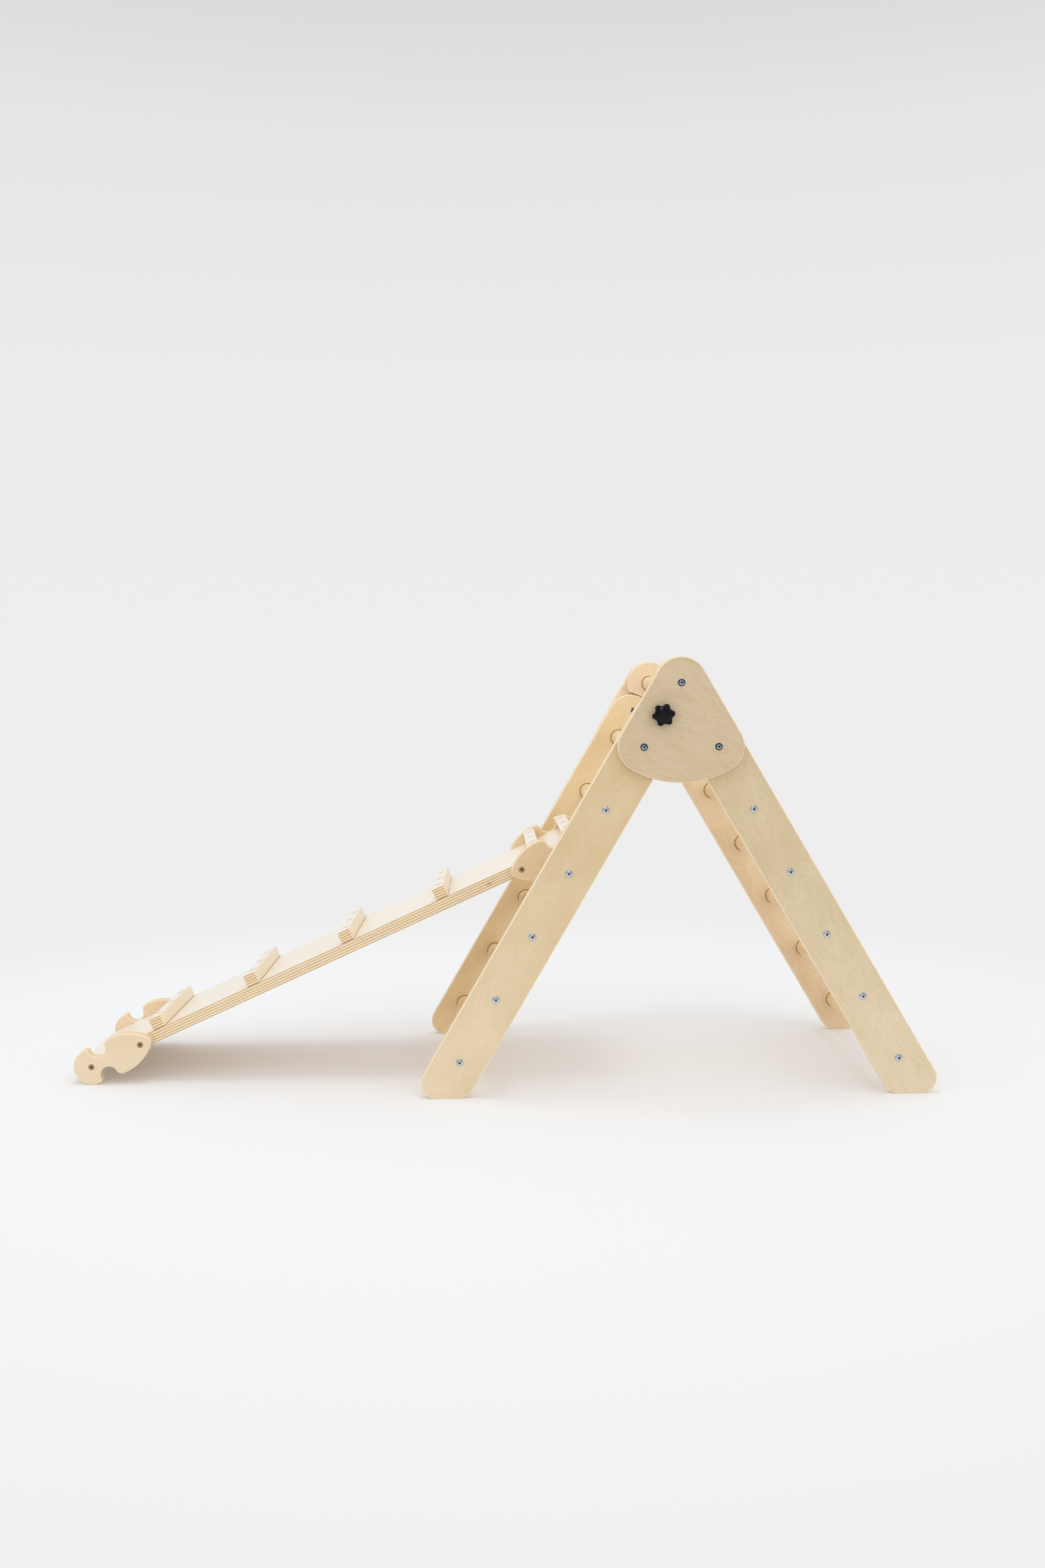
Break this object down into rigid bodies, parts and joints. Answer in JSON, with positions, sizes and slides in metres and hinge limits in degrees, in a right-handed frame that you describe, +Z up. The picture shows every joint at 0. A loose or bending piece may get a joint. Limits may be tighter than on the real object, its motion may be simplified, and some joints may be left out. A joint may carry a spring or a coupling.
{
  "type": "folding climbing frame with ramp",
  "caption": "Folding plywood climbing frame: two rung ladders joined by rounded apex plates, clamped by star knobs, with a cleated ramp hooked over a rung.",
  "frame": {"origin": "on the floor, under the middle of the whole part's bounding box", "axes": "+X from the foot of the ramp towards the right-hand ladder, +Y from the near side to the far side, along the rungs, +Z up"},
  "size_m": [1.2994, 0.4996, 0.6458],
  "materials": {
    "birch_plywood": "clear matt lacquer",
    "birch_strip": "sanded",
    "birch_dowel": "sanded",
    "zinc_steel": "zinc plated",
    "yellow_zinc_steel": "yellow zinc plated",
    "staple_wire": "galvanised",
    "black_plastic": "gloss",
    "brass": "turned"
  },
  "bodies": {
    "left_ladder": {"left_rail_near": "birch_plywood", "left_rail_far": "birch_plywood", "left_rung_1": "birch_dowel", "left_rung_2": "birch_dowel", "left_rung_3": "birch_dowel", "left_rung_4": "birch_dowel", "left_rung_5": "birch_dowel", "left_rung_6": "birch_dowel", "left_rung_bolts": "zinc_steel", "pivot_bolts": "zinc_steel", "left_rung_inserts": "zinc_steel"},
    "right_frame": {"right_rail_near": "birch_plywood", "right_rail_far": "birch_plywood", "apex_plate_near": "birch_plywood", "apex_plate_far": "birch_plywood", "apex_rung": "birch_dowel", "right_rung_1": "birch_dowel", "right_rung_2": "birch_dowel", "right_rung_3": "birch_dowel", "right_rung_4": "birch_dowel", "right_rung_5": "birch_dowel", "right_rung_6": "birch_dowel", "right_rung_bolts": "zinc_steel", "plate_bolts": "zinc_steel", "right_rung_inserts": "zinc_steel", "clamp_bolt_near": "zinc_steel", "clamp_bolt_far": "zinc_steel", "clamp_washer_near": "zinc_steel", "clamp_washer_far": "zinc_steel"},
    "ramp": {"ramp_board": "birch_plywood", "ramp_cleat_1": "birch_strip", "ramp_cleat_2": "birch_strip", "ramp_cleat_3": "birch_strip", "ramp_cleat_4": "birch_strip", "ramp_cleat_5": "birch_strip", "ramp_cleat_6": "birch_strip", "hook_plate_lower_near": "birch_plywood", "hook_plate_lower_far": "birch_plywood", "hook_plate_upper_near": "birch_plywood", "hook_plate_upper_far": "birch_plywood", "hook_plate_screws": "yellow_zinc_steel", "cleat_staples": "staple_wire"},
    "near_washer": {"knob_washer_near": "zinc_steel"},
    "near_knob": {"star_knob_near": "black_plastic", "knob_bush_near": "brass"},
    "far_washer": {"knob_washer_far": "zinc_steel"},
    "far_knob": {"star_knob_far": "black_plastic", "knob_bush_far": "brass"}
  },
  "joints": [
    {"name": "fold", "type": "hinge", "parent": "left_ladder", "child": "right_frame", "pos_m": [0.21347, 0, 0.51588], "axis": [0, 1, 0], "range_deg": [0, 60.6]},
    {"name": "ramp_lift", "type": "hinge", "parent": "left_ladder", "child": "ramp", "pos_m": [0.1055, 0, 0.33111], "axis": [0, 1, 0], "range_deg": [0, 40]},
    {"name": "near_knob_slide", "type": "slide", "parent": "right_frame", "child": "near_washer", "axis": [0, -1, 0], "range_m": [0, 0.0031]},
    {"name": "near_knob_turn", "type": "hinge", "parent": "near_washer", "child": "near_knob", "pos_m": [0.24046, 0, 0.56207], "axis": [0, -1, 0], "range_deg": [0, 1080]},
    {"name": "far_knob_slide", "type": "slide", "parent": "right_frame", "child": "far_washer", "axis": [0, 1, 0], "range_m": [0, 0.0031]},
    {"name": "far_knob_turn", "type": "hinge", "parent": "far_washer", "child": "far_knob", "pos_m": [0.24046, 0, 0.56207], "axis": [0, 1, 0], "range_deg": [0, 1080]}
  ],
  "couplings": [
    {"joint": "near_knob_slide", "follows": "near_knob_turn", "m_per_rad": 0.00015915},
    {"joint": "far_knob_slide", "follows": "far_knob_turn", "m_per_rad": 0.00015915}
  ]
}
